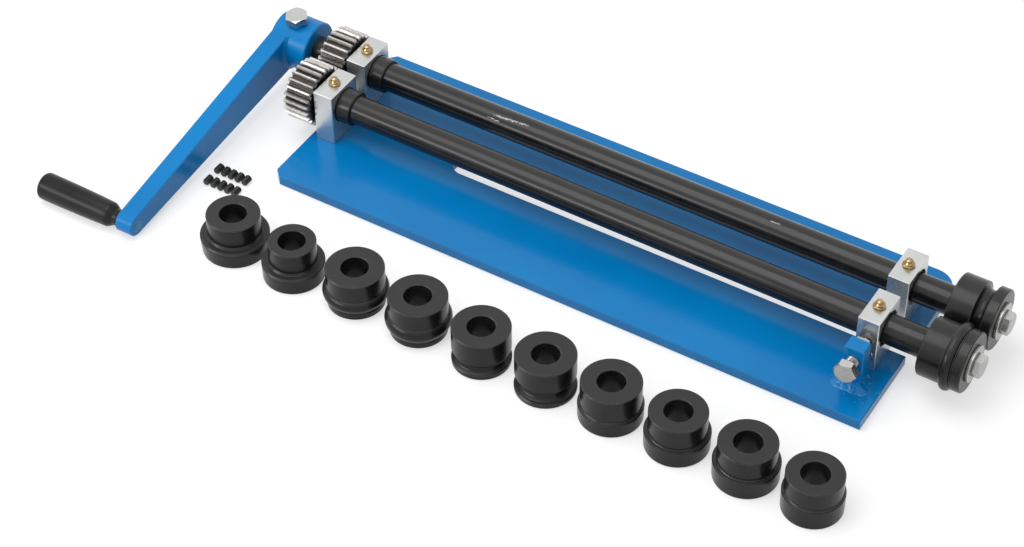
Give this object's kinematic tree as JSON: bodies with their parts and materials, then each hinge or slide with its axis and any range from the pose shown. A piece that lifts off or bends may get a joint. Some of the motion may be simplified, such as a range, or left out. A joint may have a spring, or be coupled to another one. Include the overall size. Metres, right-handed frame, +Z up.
{
  "type": "bead roller",
  "caption": "Hand cranked bead roller: two geared shafts in bearing blocks on a slotted base plate, meshing forming dies, a swinging pressure carriage and loose spare dies.",
  "frame": {"origin": "bottom centre of the box around the whole set, on the bench plane", "axes": "+X along the shafts from the crank end to the die end, +Y from the loose dies towards the back of the plate, +Z up"},
  "size_m": [0.7462, 0.2986, 0.0735],
  "materials": {
    "blue_paint": "gloss blue paint over steel",
    "plated_steel": "zinc plated machined steel",
    "bright_steel": "oiled bright cut steel",
    "black_steel": "satin blackened turned steel",
    "black_oxide": "black oxide hardened steel",
    "black_screws": "black oxide alloy steel",
    "zinc_hardware": "bright zinc plate",
    "bearing_bronze": "oiled sintered bronze",
    "brass": "bright brass",
    "black_plastic": "satin moulded plastic"
  },
  "bodies": {
    "frame": {"base_plate": "blue_paint", "block_screws": "black_screws", "drive_block_gear_end": "plated_steel", "drive_block_die_end": "plated_steel", "drive_bush_gear_end": "bearing_bronze", "drive_bush_die_end": "bearing_bronze", "drive_nipples": "brass", "pressure_post": "blue_paint", "post_weld": "blue_paint", "loose_die_01": "black_oxide", "loose_die_02": "black_oxide", "loose_die_03": "black_oxide", "loose_die_04": "black_oxide", "loose_die_05": "black_oxide", "loose_die_06": "black_oxide", "loose_die_07": "black_oxide", "loose_die_08": "black_oxide", "loose_die_09": "black_oxide", "loose_die_10": "black_oxide", "spare_grub_screws": "black_screws"},
    "carriage": {"driven_block_gear_end": "plated_steel", "driven_block_die_end": "plated_steel", "driven_bush_gear_end": "bearing_bronze", "driven_bush_die_end": "bearing_bronze", "driven_nipples": "brass", "pivot_screw": "black_screws", "slide_screw": "black_screws"},
    "drive_spindle": {"drive_shaft": "black_steel", "drive_gear": "bright_steel", "drive_gear_key": "bright_steel", "drive_collar": "black_steel", "drive_die": "black_oxide", "drive_washer": "zinc_hardware", "drive_bolt": "zinc_hardware", "crank_arm": "blue_paint", "crank_set_bolt": "zinc_hardware", "grip_pin": "zinc_hardware"},
    "driven_spindle": {"driven_shaft": "black_steel", "driven_gear": "bright_steel", "driven_gear_key": "bright_steel", "driven_collar": "black_steel", "driven_die": "black_oxide", "driven_washer": "zinc_hardware", "driven_bolt": "zinc_hardware"},
    "crank_grip": {"grip": "black_plastic"},
    "push_bolt": {"push_bolt": "zinc_hardware"},
    "lock_nut": {"lock_nut": "zinc_hardware"}
  },
  "joints": [
    {"name": "drive_turn", "type": "hinge", "parent": "frame", "child": "drive_spindle", "pos_m": [-0.2083, 0.09247, 0.0405], "axis": [1, 0, 0], "continuous": true},
    {"name": "carriage_swing", "type": "hinge", "parent": "frame", "child": "carriage", "pos_m": [-0.2083, 0.04426, 0.0405], "axis": [0, 0, 1], "range_deg": [-0.47, 0.19]},
    {"name": "driven_turn", "type": "hinge", "parent": "carriage", "child": "driven_spindle", "pos_m": [-0.2083, 0.04426, 0.0405], "axis": [1, -0.0063, 0], "continuous": true},
    {"name": "grip_turn", "type": "hinge", "parent": "drive_spindle", "child": "crank_grip", "pos_m": [-0.3341, -0.13776, 0.0119], "axis": [1, 0, 0], "continuous": true},
    {"name": "push_bolt_travel", "type": "slide", "parent": "frame", "child": "push_bolt", "axis": [0, -1, 0], "range_m": [-0.0017, 0.0041]},
    {"name": "lock_nut_turn", "type": "hinge", "parent": "frame", "child": "lock_nut", "pos_m": [0.2857, 0.01581, 0.0365], "axis": [0, 1, 0], "range_deg": [0, 180]}
  ],
  "couplings": [
    {"joint": "driven_turn", "follows": "drive_turn", "ratio": -1},
    {"joint": "push_bolt_travel", "follows": "carriage_swing", "m_per_rad": -0.494}
  ]
}
